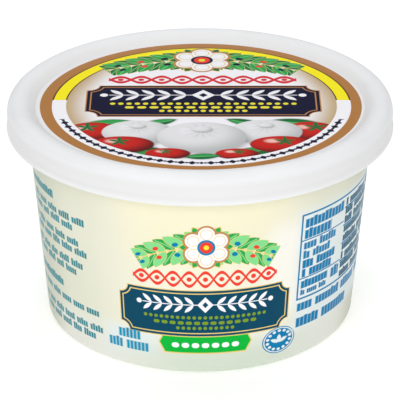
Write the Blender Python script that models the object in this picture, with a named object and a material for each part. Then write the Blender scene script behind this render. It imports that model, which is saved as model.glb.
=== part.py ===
"""A shut round deli tub of burrata: a tapered tub and the lid pressed over its rim.

Metres, with +Z up. The origin is the centre of the foot ring, on the surface that the tub stands on.

Both pieces are turned about Z. Each has a half outline that starts on the axis on top, runs outwards
and down its outer side, and comes back to the axis underneath. The lid is a thin shell: a flat panel,
a wall that slopes up from it, a domed channel over the tub's rim, and a skirt whose lip hooks under
the rim. The tub is one solid up to its rim, which stands for its wall and for what it holds, since
the shut pack can't be seen into. The rim repeats the lid's own step and arcs, a small gap inside them.
"""

import math

import bmesh
import bpy

# The whole pack
LID_RADIUS = 0.0587  # the widest part of the lid's skirt
PANEL_HEIGHT = 0.0675  # the lid's flat panel above the floor
FIT_GAP = 0.0003  # between the lid and the tub

# The lid
LID_WALL = 0.0008
CREST_INSET = 0.0037  # from the widest radius in to the highest line of the channel over the rim
CREST_RISE = 0.00275  # from the panel up to that line
DOME_RADIUS = 0.0055  # the channel's gentler arc, on the inner side of that line
CHANNEL_RADIUS = 0.0034  # its tighter arc, on the outer side
PANEL_FILLET = 0.0008  # where the panel turns up into the sloping wall
STEP_ANGLE = math.radians(40)  # the slope of that wall
LIP_RADIUS = 0.00145
LIP_DROP = 0.0056  # from the panel down to the middle of the lip's arc
LIP_WRAP = math.radians(100)  # how far the lip turns in under the rim

# The tub
WALL_FOOT_RADIUS = 0.0472  # the wall's straight line, carried down to the floor
WALL_DRAFT = math.radians(4.74)  # the wall's lean from upright
RIM_DROP = 0.0054  # from the lid's panel down to the rim's underside
RIM_CORNER = 0.0010
RIM_FILLET = 0.0008  # where the rim's underside meets the wall
HEEL_RADIUS = 0.0032  # where the wall meets the foot ring
FOOT_INNER_RADIUS = 0.0406
BASE_RECESS = 0.0013  # how far the base's middle stands clear of the floor
RECESS_SLOPE = 0.0016  # how far the foot ring's inner side leans in

# How finely the turned surfaces are cut
TURN_STEPS = 72
DOME_STEPS = 3
CHANNEL_STEPS = 6
LIP_STEPS = 5
HEEL_STEPS = 5
CORNER_STEPS = 3
MERGE_DISTANCE = 1e-6
SHARP_ANGLE = math.radians(35)

RIGHT, UP, DOWN = 0.0, math.pi / 2, -math.pi / 2


def clear_scene():
    for old in list(bpy.data.objects):
        bpy.data.objects.remove(old, do_unlink=True)


def plastic(name, colour, roughness):
    """A Principled material of one colour."""
    material = bpy.data.materials.new(name)
    material.use_nodes = True
    shader = material.node_tree.nodes["Principled BSDF"]
    shader.inputs["Base Color"].default_value = (*colour, 1.0)
    shader.inputs["Roughness"].default_value = roughness
    shader.inputs["Metallic"].default_value = 0.0
    return material


def arc(centre, radius, start, end, steps):
    """Points along an arc in the outline's plane, both ends included."""
    points = []
    for i in range(steps + 1):
        angle = start + (end - start) * i / steps
        points.append((centre[0] + radius * math.cos(angle), centre[1] + radius * math.sin(angle)))
    return points


def wall_radius(height):
    """The radius of the tub's straight wall at a height above the floor."""
    return WALL_FOOT_RADIUS + height * math.tan(WALL_DRAFT)


def step_and_channel(depth):
    """The panel's fillet and the channel's two arcs, at a depth under the lid's outer surface.

    The straight wall after the fillet touches it and the dome, which is what places the fillet's centre.
    """
    crest_radius, crest_height = LID_RADIUS - CREST_INSET, PANEL_HEIGHT + CREST_RISE
    rise = PANEL_FILLET + DOME_RADIUS - CREST_RISE
    reach = PANEL_FILLET + DOME_RADIUS
    run = (reach - rise * math.cos(STEP_ANGLE)) / math.sin(STEP_ANGLE)
    fillet_centre = (crest_radius - run, PANEL_HEIGHT + PANEL_FILLET)
    dome_centre = (crest_radius, crest_height - DOME_RADIUS)
    channel_centre = (crest_radius, crest_height - CHANNEL_RADIUS)
    fillet = arc(fillet_centre, PANEL_FILLET + depth, DOWN, STEP_ANGLE + DOWN, CORNER_STEPS)
    dome = arc(dome_centre, DOME_RADIUS - depth, UP + STEP_ANGLE, UP, DOME_STEPS)
    channel = arc(channel_centre, CHANNEL_RADIUS - depth, UP, RIGHT, CHANNEL_STEPS)
    return fillet + dome + channel[1:]


def lid_outline():
    lip_centre = (LID_RADIUS - LIP_RADIUS, PANEL_HEIGHT - LIP_DROP)
    outer = [(0.0, PANEL_HEIGHT)]
    outer += step_and_channel(0.0)
    outer += arc(lip_centre, LIP_RADIUS, RIGHT, -LIP_WRAP, LIP_STEPS)
    inner = [(0.0, PANEL_HEIGHT - LID_WALL)]
    inner += step_and_channel(LID_WALL)
    inner += arc(lip_centre, LIP_RADIUS - LID_WALL, RIGHT, -LIP_WRAP, LIP_STEPS)
    return outer + inner[::-1]


def rim_outline():
    """The tub's top and its rim, from the axis out and down to the wall."""
    depth = LID_WALL + FIT_GAP
    underside = PANEL_HEIGHT - RIM_DROP
    rim = step_and_channel(depth)
    rim_radius = rim[-1][0]
    corner_centre = (rim_radius - RIM_CORNER, underside + RIM_CORNER)
    fillet_height = underside - RIM_FILLET
    fillet_centre = (wall_radius(fillet_height) + RIM_FILLET / math.cos(WALL_DRAFT), fillet_height)
    rim += arc(corner_centre, RIM_CORNER, RIGHT, DOWN, CORNER_STEPS)
    rim += arc(fillet_centre, RIM_FILLET, UP, math.pi - WALL_DRAFT, CORNER_STEPS)
    return [(0.0, PANEL_HEIGHT - depth)] + rim


def base_outline():
    """The heel, the foot ring and the raised middle of the base, back to the axis."""
    heel_inset = HEEL_RADIUS * (1 - math.sin(WALL_DRAFT)) / math.cos(WALL_DRAFT)
    heel_centre = (WALL_FOOT_RADIUS - heel_inset, HEEL_RADIUS)
    heel = arc(heel_centre, HEEL_RADIUS, -WALL_DRAFT, DOWN, HEEL_STEPS)
    recess = [(FOOT_INNER_RADIUS, 0.0), (FOOT_INNER_RADIUS - RECESS_SLOPE, BASE_RECESS)]
    return heel + recess + [(0.0, BASE_RECESS)]


def turned(name, outline, material):
    """One closed object from a half outline swept round Z."""
    shape = bmesh.new()
    points = [shape.verts.new((radius, 0.0, height)) for radius, height in outline]
    edges = [shape.edges.new(pair) for pair in zip(points, points[1:])]
    bmesh.ops.spin(
        shape, geom=points + edges, cent=(0, 0, 0), axis=(0, 0, 1), angle=math.tau, steps=TURN_STEPS
    )
    bmesh.ops.remove_doubles(shape, verts=shape.verts, dist=MERGE_DISTANCE)
    bmesh.ops.recalc_face_normals(shape, faces=shape.faces)
    mesh = bpy.data.meshes.new(name)
    shape.to_mesh(mesh)
    shape.free()
    mesh.shade_smooth()
    mesh.set_sharp_from_angle(angle=SHARP_ANGLE)
    mesh.materials.append(material)
    piece = bpy.data.objects.new(name, mesh)
    bpy.context.scene.collection.objects.link(piece)
    return piece


def main():
    clear_scene()
    pack = bpy.data.objects.new("burrata_tub", None)
    bpy.context.scene.collection.objects.link(pack)
    cream = plastic("tub_plastic", (0.86, 0.83, 0.68), 0.35)
    white = plastic("lid_plastic", (0.85, 0.86, 0.88), 0.45)
    tub = turned("tub", rim_outline() + base_outline(), cream)
    lid = turned("lid", lid_outline(), white)
    tub.parent = pack
    lid.parent = pack


main()
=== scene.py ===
"""The looks of a shut round tub of burrata: its finely turned tub and lid, their print, and a studio.

Metres, +Z up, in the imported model's frame. The print is drawn by shader maths in millimetres, as inks
laid one over the other on a flat sheet: the lid's sheet is its panel seen from above, and the tub's is
its wall unrolled. Every motif is a plain ornament, such as leaves, blossoms, balls, bands and ticks.
"""

import logging
import math
from dataclasses import dataclass, replace
from enum import Enum

import bmesh
import bpy
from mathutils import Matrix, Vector


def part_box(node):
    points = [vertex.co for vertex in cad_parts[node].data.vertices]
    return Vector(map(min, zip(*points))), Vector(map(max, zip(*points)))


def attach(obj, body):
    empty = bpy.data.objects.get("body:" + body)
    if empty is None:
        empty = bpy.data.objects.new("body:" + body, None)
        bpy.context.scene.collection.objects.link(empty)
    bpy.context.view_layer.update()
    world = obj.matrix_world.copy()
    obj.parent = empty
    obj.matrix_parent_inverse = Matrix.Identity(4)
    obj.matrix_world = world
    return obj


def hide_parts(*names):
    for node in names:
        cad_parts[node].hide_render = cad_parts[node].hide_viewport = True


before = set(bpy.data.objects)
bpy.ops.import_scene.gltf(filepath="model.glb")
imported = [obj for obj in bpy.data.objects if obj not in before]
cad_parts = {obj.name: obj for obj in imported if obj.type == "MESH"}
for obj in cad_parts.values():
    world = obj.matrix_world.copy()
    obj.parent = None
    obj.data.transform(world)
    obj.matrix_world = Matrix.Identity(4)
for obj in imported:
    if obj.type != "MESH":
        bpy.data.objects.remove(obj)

LOG = logging.getLogger("burrata_tub")
BODY = "root"
MM = 0.001  # one millimetre in the frame's metres
SOFT = 0.12  # the softness of a printed edge, in millimetres
SOFT_LEAF = 0.25  # the same for a pictured leaf
SOFT_PICTURE = 0.3  # the same for a pictured round thing
GROUND_SOFT = 4.0  # the same for the pale ground behind some of the ticks
GROUND_SHARE = 0.8  # how much that ground covers
BAKE_MAP = "OFBake"  # the name of the pieces' UV map
UP, DOWN = math.pi / 2, -math.pi / 2  # the angles of an arc's highest and lowest points

Pair = tuple[float, float]
Triple = tuple[float, float, float]
Outline = list[Pair]


# ---------------------------------------------------------------- inks


def linear(code: str) -> Triple:
    """The linear colour of a display colour.

    Args:
        code: the colour as six hexadecimal digits after a hash.

    Returns:
        Its red, green and blue, from 0 to 1.
    """
    shares = [int(code[i : i + 2], 16) / 255 for i in (1, 3, 5)]
    red, green, blue = (s / 12.92 if s <= 0.04045 else ((s + 0.055) / 1.055) ** 2.4 for s in shares)
    return red, green, blue


class Ink(Enum):
    """The colours of the two plastics and of the print on them."""

    LID = "#f0f1f3"
    # painted shade on the lid's skirt, and the tone of its faint clouds
    LID_SHADE_AND_CLOUD = "#e5e5e5"
    CREAM = "#e5e6d3"
    # the plastic's faint clouds, and also the painted shade at the tub's sides
    STRAW = "#cbcebc"
    # partly the print's pale halo and partly painted light, on the tub's middle
    MILK = "#f0ecd7"
    # a painted highlight on the tub's wall
    PAINTED_HIGHLIGHT = "#f7f4ea"
    # partly the print's pale halo and partly painted light, in the tub's upper middle
    BUTTER = "#f0ecce"
    WHEY = "#d4ddcd"
    FOAM = "#e6e7de"
    RIME = "#e2ecee"
    BROWN = "#b37b42"
    LINE = "#3c2228"
    YELLOW = "#fff000"
    PAPER = "#f9f9fe"
    TAN = "#c5a878"
    NAVY = "#060930"
    PETROL = "#004660"
    DEEP_GREEN = "#127038"
    GREEN = "#2ca650"
    SPRING = "#84dc8e"
    BRIGHT_GREEN = "#84da8c"
    TAG_GREEN = "#06b63c"
    OLIVE = "#7a9a26"
    RED = "#ee4030"
    CRIMSON = "#dc2c36"
    GOLD = "#c58a4e"
    PALE_GOLD = "#ead07c"
    LEMON = "#f3e63c"
    TEAL = "#008490"
    AQUA = "#0092b6"
    BLUE = "#007cae"
    DEEP_BLUE = "#005a76"
    CHEESE = "#e8e8ea"
    CHEESE_SHADE = "#bdc0c0"
    TOMATO = "#cc1c14"
    TOMATO_SHADE = "#5c100e"
    GLINT = "#ffd9cc"
    SHADOW = "#3c2420"

    @property
    def colour(self) -> tuple[float, float, float, float]:
        """The ink's linear colour with full alpha."""
        return (*linear(self.value), 1.0)


# ---------------------------------------------------------------- shader maths


class Value:
    """An output socket of a node tree. Arithmetic on it adds Math or Vector Math nodes."""

    def __init__(self, graph: "Graph", socket: bpy.types.NodeSocket) -> None:
        """Wraps a socket of the graph's tree."""
        self.graph = graph
        self.socket = socket

    @property
    def is_vector(self) -> bool:
        """Whether the socket holds a vector and not one number."""
        return self.socket.type == "VECTOR"

    def __add__(self, other: "Term") -> "Value":
        """The sum."""
        return self.graph.maths("ADD", self, other)

    def __radd__(self, other: "Term") -> "Value":
        """The sum, from the right."""
        return self.graph.maths("ADD", other, self)

    def __sub__(self, other: "Term") -> "Value":
        """The difference."""
        return self.graph.maths("SUBTRACT", self, other)

    def __rsub__(self, other: "Term") -> "Value":
        """The difference, from the right."""
        return self.graph.maths("SUBTRACT", other, self)

    def __mul__(self, other: "Term") -> "Value":
        """The product."""
        return self.graph.maths("MULTIPLY", self, other)

    def __rmul__(self, other: "Term") -> "Value":
        """The product, from the right."""
        return self.graph.maths("MULTIPLY", other, self)

    def __neg__(self) -> "Value":
        """The value with its sign turned."""
        return self.graph.maths("MULTIPLY", self, -1.0)

    def __abs__(self) -> "Value":
        """The size without its sign, of each part of a vector."""
        return self.graph.maths("ABSOLUTE", self)

    def __gt__(self, other: "Term") -> "Value":
        """One where this is greater, else zero."""
        return self.graph.maths("GREATER_THAN", self, other)

    def __lt__(self, other: "Term") -> "Value":
        """One where this is less, else zero."""
        return self.graph.maths("LESS_THAN", self, other)

    def times_plus(self, factor: "Term", extra: "Term", clamp: bool = False) -> "Value":
        """The value times a factor plus something more, in one node.

        Args:
            factor: what it is multiplied by.
            extra: what is added to the product.
            clamp: whether the result is kept from 0 to 1.

        Returns:
            The new value.
        """
        return self.graph.maths("MULTIPLY_ADD", self, factor, extra, clamp=clamp)

    def wrapped(self, low: float, high: float) -> "Value":
        """The value brought into a range by whole turns of that range."""
        return self.graph.maths("WRAP", self, high, low)

    def floor(self) -> "Value":
        """The whole number below."""
        return self.graph.maths("FLOOR", self)

    def sine(self) -> "Value":
        """The sine of an angle in radians."""
        return self.graph.maths("SINE", self)

    def cosine(self) -> "Value":
        """The cosine of an angle in radians."""
        return self.graph.maths("COSINE", self)

    def length(self) -> "Value":
        """A vector's length."""
        return self.graph.maths("LENGTH", self)

    def far(self, place: Pair) -> "Value":
        """The distance to a fixed place."""
        return self.graph.maths("DISTANCE", self, place)

    def dot(self, other: "Pair | Triple") -> "Value":
        """The dot product with a fixed direction."""
        return self.graph.maths("DOT_PRODUCT", self, other)

    @property
    def x(self) -> "Value":
        """A vector's first part."""
        return self.dot((1.0, 0.0))

    @property
    def y(self) -> "Value":
        """A vector's second part."""
        return self.dot((0.0, 1.0))

    @property
    def z(self) -> "Value":
        """A vector's third part."""
        return self.dot((0.0, 0.0, 1.0))


Term = Value | float | Pair | Triple


class Graph:
    """A material's node tree, and the few methods that all its nodes come from."""

    MIX_A, MIX_B, MIX_RESULT = 6, 7, 2  # a Mix node's colour sockets, whose names aren't unique

    def __init__(self, name: str) -> None:
        """Starts a material with an empty tree.

        Args:
            name: the material's name.
        """
        self.material = bpy.data.materials.new(name)
        self.material.use_nodes = True
        self.tree = self.material.node_tree
        self.tree.nodes.clear()

    def add(self, kind: str, settings: dict[str, object], sockets: dict[str | int, object]) -> bpy.types.Node:
        """Adds a node.

        Args:
            kind: the node's type.
            settings: its properties, which are set first.
            sockets: the values or links of its input sockets, by name or number.

        Returns:
            The node.
        """
        node = self.tree.nodes.new(kind)
        for key, setting in settings.items():
            setattr(node, key, setting)
        for key, value in sockets.items():
            if isinstance(value, Value):
                self.tree.links.new(value.socket, node.inputs[key])
            else:
                node.inputs[key].default_value = value
        return node

    def value(
        self,
        kind: str,
        settings: dict[str, object],
        sockets: dict[str | int, object],
        output: str | int = 0,
    ) -> Value:
        """Adds a node and returns one of its outputs."""
        return Value(self, self.add(kind, settings, sockets).outputs[output])

    def maths(self, operation: str, *terms: Term, clamp: bool = False) -> Value:
        """Adds a Math node, or a Vector Math node where a term is a vector.

        Args:
            operation: the node's operation.
            terms: its inputs in order, each a value, a number or a fixed pair.
            clamp: whether the result is kept from 0 to 1, for plain numbers only.

        Returns:
            The result.
        """
        if not any(isinstance(t, tuple) or (isinstance(t, Value) and t.is_vector) for t in terms):
            settings = {"operation": operation, "use_clamp": clamp}
            return self.value("ShaderNodeMath", settings, dict(enumerate(terms)))
        sockets = {i: self._as_vector(term) for i, term in enumerate(terms)}
        output = "Value" if operation in ("LENGTH", "DISTANCE", "DOT_PRODUCT") else "Vector"
        return self.value("ShaderNodeVectorMath", {"operation": operation}, sockets, output)

    @staticmethod
    def _as_vector(term: Term) -> object:
        """A term as what a vector socket takes.

        Args:
            term: a value, a number or a fixed tuple.

        Returns:
            The value, or three numbers.
        """
        if isinstance(term, Value):
            return term
        return (*term, 0.0)[:3] if isinstance(term, tuple) else (term, term, 0.0)

    def place(self, across: Term, up: Term) -> Value:
        """A place on a sheet from its two coordinates."""
        return self.value("ShaderNodeCombineXYZ", {}, {"X": across, "Y": up})

    def turned(self, place: Value, centre: Pair, degrees: float) -> Value:
        """A place as seen from another frame.

        Args:
            place: the place on the sheet.
            centre: where the frame stands.
            degrees: how far it is turned, counterclockwise.

        Returns:
            The place in the frame.
        """
        cos, sin = math.cos(math.radians(degrees)), math.sin(math.radians(degrees))
        local = place - centre
        return self.place(local.dot((cos, sin)), local.dot((-sin, cos)))

    def bearing(self, place: Value) -> Value:
        """The angle of a place round the origin, in radians: 0 straight up the sheet, more to the right."""
        return self.maths("ARCTAN2", place.x, place.y)

    def folded_round(self, place: Value, count: int) -> Value:
        """A place brought by whole turns into one of several equal sectors, the one that points up.

        Args:
            place: the place as seen from the sectors' middle.
            count: how many sectors there are.

        Returns:
            The place in the upper sector.
        """
        angle = self.bearing(place).wrapped(-math.pi / count, math.pi / count)
        reach = place.length()
        return self.place(reach * angle.sine(), reach * angle.cosine())

    def blend(self, share: Term, under: object, over: object) -> Value:
        """Mixes two colours, each a value or four numbers, by the share of the second."""
        sockets = {"Factor": share, self.MIX_A: under, self.MIX_B: over}
        return self.value("ShaderNodeMix", {"data_type": "RGBA"}, sockets, self.MIX_RESULT)

    def noise(self, place: Value, scale: float, detail: float = 2.0) -> Value:
        """Soft noise from 0 to 1."""
        return self.value("ShaderNodeTexNoise", {}, {"Vector": place, "Scale": scale, "Detail": detail})

    def scatter(self, seed: Value) -> Value:
        """An even random number from 0 to 1 for each seed."""
        return self.value("ShaderNodeTexWhiteNoise", {"noise_dimensions": "1D"}, {"W": seed})

    def ease(self, value: Value, start: float, end: float) -> Value:
        """A soft step, from 0 at the start to 1 at the end."""
        sockets = {"Value": value, "From Min": start, "From Max": end}
        return self.value("ShaderNodeMapRange", {"interpolation_type": "SMOOTHSTEP"}, sockets)


# ---------------------------------------------------------------- shapes and sheets


@dataclass(frozen=True)
class Shape:
    """The part of a sheet where a distance is under an edge value. Shapes join by | and overlap by &."""

    distance: Value
    edge: float = 0.0

    def signed(self) -> Value:
        """The distance to the edge, which is negative inside."""
        return self.distance - self.edge if self.edge else self.distance

    def __and__(self, other: "Shape") -> "Shape":
        """What is inside both shapes."""
        return Shape(self.distance.graph.maths("MAXIMUM", self.signed(), other.signed()))

    def __or__(self, other: "Shape") -> "Shape":
        """What is inside either shape."""
        return Shape(self.distance.graph.maths("MINIMUM", self.signed(), other.signed()))

    def __invert__(self) -> "Shape":
        """What is outside."""
        return Shape(-self.distance, -self.edge)

    def grown(self, by: float) -> "Shape":
        """The shape with its edge moved out, or in if the number is negative."""
        return replace(self, edge=self.edge + by)

    def line(self, width: float) -> "Shape":
        """A line of a width along the edge."""
        return Shape(abs(self.signed()), width / 2)

    def share(self, soft: float = SOFT) -> Value:
        """How much of each point is inside, from 0 to 1, over a soft edge."""
        return self.distance.times_plus(-1 / soft, self.edge / soft + 0.5, clamp=True)


def disc(place: Value, centre: Pair, radius: float) -> Shape:
    """A disc."""
    return Shape(place.far(centre), radius)


def from_oval(place: Value, centre: Pair, half: Pair) -> Value:
    """A place as seen from an ellipse's centre, with the ellipse's edge at a length of 1."""
    return place.times_plus((1 / half[0], 1 / half[1]), (-centre[0] / half[0], -centre[1] / half[1]))


def lozenge(place: Value, centre: Pair, half: Pair) -> Shape:
    """A lozenge."""
    slope = half[0] * half[1] / math.hypot(*half)
    return Shape(abs(place - centre).dot((slope / half[0], slope / half[1])), slope)


def block(place: Value, centre: Pair, half: Pair) -> Shape:
    """A rectangle."""
    beyond = abs(place - centre) - half
    return Shape(beyond.x) & Shape(beyond.y)


def pill(place: Value, centre: Pair, half: Pair) -> Shape:
    """A bar with round ends, along the sheet's first axis."""
    beyond = abs(place - centre) - (half[0] - half[1], 0.0)
    return Shape(place.graph.maths("MAXIMUM", beyond, 0.0).length(), half[1])


def leaf(local: Value, half: Pair) -> Shape:
    """A leaf with two points, at the middle of its own frame and along its first axis."""
    radius = (half[0] ** 2 + half[1] ** 2) / (2 * half[1])
    return Shape(abs(local).far((0.0, half[1] - radius)), radius)


@dataclass
class Sheet:
    """A flat sheet in millimetres, and the inks that have been laid on it so far."""

    graph: Graph
    place: Value
    colour: object

    def lay(self, ink: "Ink | Value", share: Term) -> None:
        """Lays an ink or a colour over the sheet, by its share of each point."""
        over = ink.colour if isinstance(ink, Ink) else ink
        self.colour = self.graph.blend(share, self.colour, over)

    def print(self, ink: "Ink | Value", shape: Shape, soft: float = SOFT) -> None:
        """Lays an ink or a colour inside a shape."""
        self.lay(ink, shape.share(soft))


# ---------------------------------------------------------------- motifs


@dataclass(frozen=True)
class Blossom:
    """A white blossom with a round eye. Its sizes, apart from its radius, are shares of the radius."""

    centre: Pair
    radius: float
    sepal: Ink
    eye: Ink
    count: int = 6  # of petals
    petal_reach: float = 0.62  # from the blossom's middle to the middle of a petal
    petal_radius: float = 0.34
    core: float = 0.5  # the radius of the white middle
    border: float = 0.09  # of gold round the petals
    sepal_reach: float = 0.74
    sepal_half: Pair = (0.36, 0.17)
    sepal_border: float = 0.04
    inlay_depth: float = 0.1  # of the fine line inside a petal's edge
    inlay_width: float = 0.035
    inlay_start: float = 0.4  # how far out the line starts
    eye_rings: Triple = (0.37, 0.27, 0.11)

    def lay(self, sheet: Sheet) -> None:
        """Prints the blossom.

        Args:
            sheet: the sheet that it is printed on.
        """
        graph = sheet.graph
        size = self.radius
        local = sheet.place - self.centre
        reach = local.length()
        petal = (0.0, size * self.petal_reach)
        petals = disc(graph.folded_round(local, self.count), petal, size * self.petal_radius)
        between = graph.folded_round(graph.turned(local, (0.0, 0.0), 180.0 / self.count), self.count)
        own = graph.turned(between, (0.0, size * self.sepal_reach), 90.0)
        sepals = leaf(own, (size * self.sepal_half[0], size * self.sepal_half[1]))
        whole = petals | Shape(reach, size * self.core)
        sheet.print(Ink.PALE_GOLD, sepals.grown(size * self.sepal_border))
        sheet.print(self.sepal, sepals)
        sheet.print(Ink.GOLD, whole.grown(size * self.border))
        sheet.print(Ink.PAPER, whole)
        inlay = petals.grown(-size * self.inlay_depth).line(size * self.inlay_width)
        sheet.print(Ink.PALE_GOLD, inlay & ~Shape(reach, size * self.inlay_start))
        for ink, share in zip((self.eye, Ink.RED, Ink.LEMON), self.eye_rings):
            sheet.print(ink, Shape(reach, size * share))


@dataclass(frozen=True)
class Garland:
    """Pairs of leaves along an arc that bends down at its ends, with a blossom in its middle."""

    centre: Pair  # the middle of the arc's circle
    radius: float
    reach: float  # from the middle of the arc to either end, along it
    pitch: float  # between two pairs of leaves in one row
    leaf_half: Pair
    blossom: float
    leaves: tuple[Ink, Ink]
    berry: Ink
    tilt: float = 52.0  # degrees between a leaf and the stem
    leaf_reach: float = 0.95  # from its root to its middle, as a share of its half length
    leaf_back: float = 0.42  # how far back along the stem its root is, as a share of the pitch
    leaf_lift: float = 0.1  # from the stem
    taper: float = 0.7  # how much smaller the last leaves are
    border: float = 0.16
    vein: float = 0.2  # half its width
    vein_inset: float = 0.4  # how far the vein stays inside its leaf
    stem: float = 0.28  # half its width
    berry_lift: float = 1.3  # from the stem, as a share of a leaf's half width
    berry_radius: float = 0.52  # as the same share

    def lay(self, sheet: Sheet) -> None:
        """Prints the garland.

        Args:
            sheet: the sheet that it is printed on.
        """
        graph = sheet.graph
        local = sheet.place - self.centre
        along = abs(graph.bearing(local)) * self.radius
        swell = along.times_plus(self.taper / self.reach, 1.0)
        side = abs(local.length() - self.radius) * swell
        limit = Shape(along, self.reach)
        for ink, shift in zip(self.leaves, (0.0, 0.5)):
            step = (along + self.pitch * shift).wrapped(-self.pitch / 2, self.pitch / 2)
            own = graph.turned(graph.place(step, side), self._leaf_middle(), self.tilt)
            blade = leaf(own, self.leaf_half)
            vein = Shape(abs(own.y), self.vein) & blade.grown(-self.vein_inset)
            sheet.print(Ink.PALE_GOLD, blade.grown(self.border) & limit)
            sheet.print(ink, blade & limit)
            sheet.print(Ink.BRIGHT_GREEN, vein & limit)
        sheet.print(Ink.PALE_GOLD, Shape(side, self.stem) & limit)
        for ink, shift in ((Ink.RED, 0.0), (self.berry, self.pitch)):
            step = (along + shift).wrapped(-self.pitch, self.pitch)
            spot = (self.pitch / 2, self.leaf_half[1] * self.berry_lift)
            berry = disc(graph.place(step, side), spot, self.leaf_half[1] * self.berry_radius)
            sheet.print(ink, berry & limit)
        top = (self.centre[0], self.centre[1] + self.radius)
        Blossom(top, self.blossom, self.leaves[0], self.berry).lay(sheet)

    def _leaf_middle(self) -> Pair:
        """Where the middle of a leaf is, along the stem from its cell's middle and out from the stem.

        Returns:
            The place.
        """
        turn = math.radians(self.tilt)
        reach = self.leaf_half[0] * self.leaf_reach
        along = reach * math.cos(turn) - self.pitch * self.leaf_back
        return (along, reach * math.sin(turn) + self.leaf_lift)


@dataclass(frozen=True)
class Braid:
    """Two waves that cross each other, with a bead in each loop."""

    centre: Pair
    half: Pair
    loops: int  # an odd number, so that a loop is in the middle
    width: float  # of a strand
    ink: Ink = Ink.RED
    taper: float = 0.3  # how much lower the last loops are
    overhang: float = 0.3  # past the last loops, as a share of a strand
    bead: float = 0.26  # its radius, as a share of the half height

    def lay(self, sheet: Sheet) -> None:
        """Prints the braid.

        Args:
            sheet: the sheet that it is printed on.
        """
        graph = sheet.graph
        pitch = 2 * self.half[0] / self.loops
        local = sheet.place - self.centre
        across, up = local.x, local.y
        taper = (across * across).times_plus(-self.taper / self.half[0] ** 2, 1.0)
        angle = across.times_plus(math.pi / pitch, math.pi / 2)
        wave = abs(angle.sine()) * (taper * (self.half[1] - self.width / 2))
        strand = Shape(abs(abs(up) - wave), self.width * 0.5)
        ends = Shape(abs(across), self.half[0] + self.width * self.overhang)
        spot = graph.place(across.wrapped(-pitch / 2, pitch / 2), up)
        bead = disc(spot, (0.0, 0.0), self.half[1] * self.bead)
        sheet.print(self.ink, (strand & ends) | (bead & Shape(abs(across), self.half[0])))


@dataclass(frozen=True)
class Spray:
    """Leaves that run out to both sides of a middle lozenge, in a plaque's own units."""

    height: float = 4.3  # over the plaque's middle
    pitch: float = 4.5  # from leaf to leaf
    reach: int = 6  # pitches from the middle to either end, the first of them without leaves
    leaf_place: Pair = (0.52, 1.95)  # a share of the pitch, and the way out from the stem
    leaf_half: Pair = (2.6, 0.84)
    leaf_tilt: float = 43.0
    stem: float = 0.2  # half its width
    lozenge: Pair = (3.4, 3.8)
    eye: Pair = (1.3, 1.5)
    tip_gap: float = 1.5
    tip_radius: float = 1.15

    def lay(self, sheet: Sheet, local: Value, unit: float, ground: Ink) -> None:
        """Prints the spray.

        Args:
            sheet: the sheet that it is printed on.
            local: the place as seen from the plaque's middle.
            unit: the plaque's unit.
            ground: the plaque's ink, for the lozenge's eye.
        """
        graph = sheet.graph
        height = self.height * unit
        pitch = self.pitch * unit
        end = pitch * self.reach
        along = abs(local.x)
        up = abs(local.y - height)
        leaf_place = (pitch * self.leaf_place[0], self.leaf_place[1] * unit)
        own = graph.turned(graph.place(along.wrapped(0.0, pitch), up), leaf_place, self.leaf_tilt)
        blade = leaf(own, (self.leaf_half[0] * unit, self.leaf_half[1] * unit))
        blades = blade & Shape(along, end) & ~Shape(along, pitch)
        stem = Shape(up, self.stem * unit) & Shape(along, end)
        middle = lozenge(local, (0.0, height), (self.lozenge[0] * unit, self.lozenge[1] * unit))
        tips = disc(graph.place(along, up), (end + self.tip_gap * unit, 0.0), self.tip_radius * unit)
        sheet.print(Ink.PAPER, blades | stem | middle | tips)
        sheet.print(ground, lozenge(local, (0.0, height), (self.eye[0] * unit, self.eye[1] * unit)))


@dataclass(frozen=True)
class BeadRow:
    """A row of beads with round ends, in a plaque's own units."""

    drop: float  # under the plaque's middle
    count: int  # an odd number, so that a bead is in the middle
    pitch: float
    share: float  # of its pitch that a bead is long
    half_height: float = 0.8

    def lay(self, sheet: Sheet, local: Value, unit: float, ink: Ink) -> None:
        """Prints the row.

        Args:
            sheet: the sheet that it is printed on.
            local: the place as seen from the plaque's middle.
            unit: the plaque's unit.
            ink: the beads' ink.
        """
        pitch = self.pitch * unit
        spot = sheet.graph.place(local.x.wrapped(-pitch / 2, pitch / 2), local.y)
        bar = pill(spot, (0.0, -self.drop * unit), (pitch * self.share / 2, self.half_height * unit))
        sheet.print(ink, bar & Shape(abs(local.x), pitch * self.count / 2))


@dataclass(frozen=True)
class Cartouche:
    """A dark plaque with scooped corners and a gold line, a light spray of leaves and rows of beads."""

    centre: Pair
    half: Pair
    scoop: float
    ink: Ink
    line: Ink
    bead: Ink
    rim: float = 0.6
    border: float = 0.6  # this and the next two are shares of the rim
    inlay_depth: float = 1.9
    inlay_width: float = 0.7
    units: float = 11.0  # how many units half its height is
    spray: Spray = Spray()
    rows: tuple[BeadRow, ...] = (
        BeadRow(1.95, 23, 2.35, 0.66),
        BeadRow(4.6, 13, 3.5, 0.74),
        BeadRow(7.1, 11, 2.35, 0.66),
    )

    def lay(self, sheet: Sheet) -> None:
        """Prints the cartouche.

        Args:
            sheet: the sheet that it is printed on.
        """
        local = sheet.place - self.centre
        unit = self.half[1] / self.units
        plaque = block(local, (0.0, 0.0), self.half) & ~disc(abs(local), self.half, self.scoop)
        inlay = plaque.grown(-self.rim * self.inlay_depth).line(self.rim * self.inlay_width)
        sheet.print(self.line, plaque.grown(self.rim * self.border))
        sheet.print(self.ink, plaque)
        sheet.print(self.line, inlay)
        self.spray.lay(sheet, local, unit, self.ink)
        for row in self.rows:
            row.lay(sheet, local, unit, self.bead)


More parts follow.
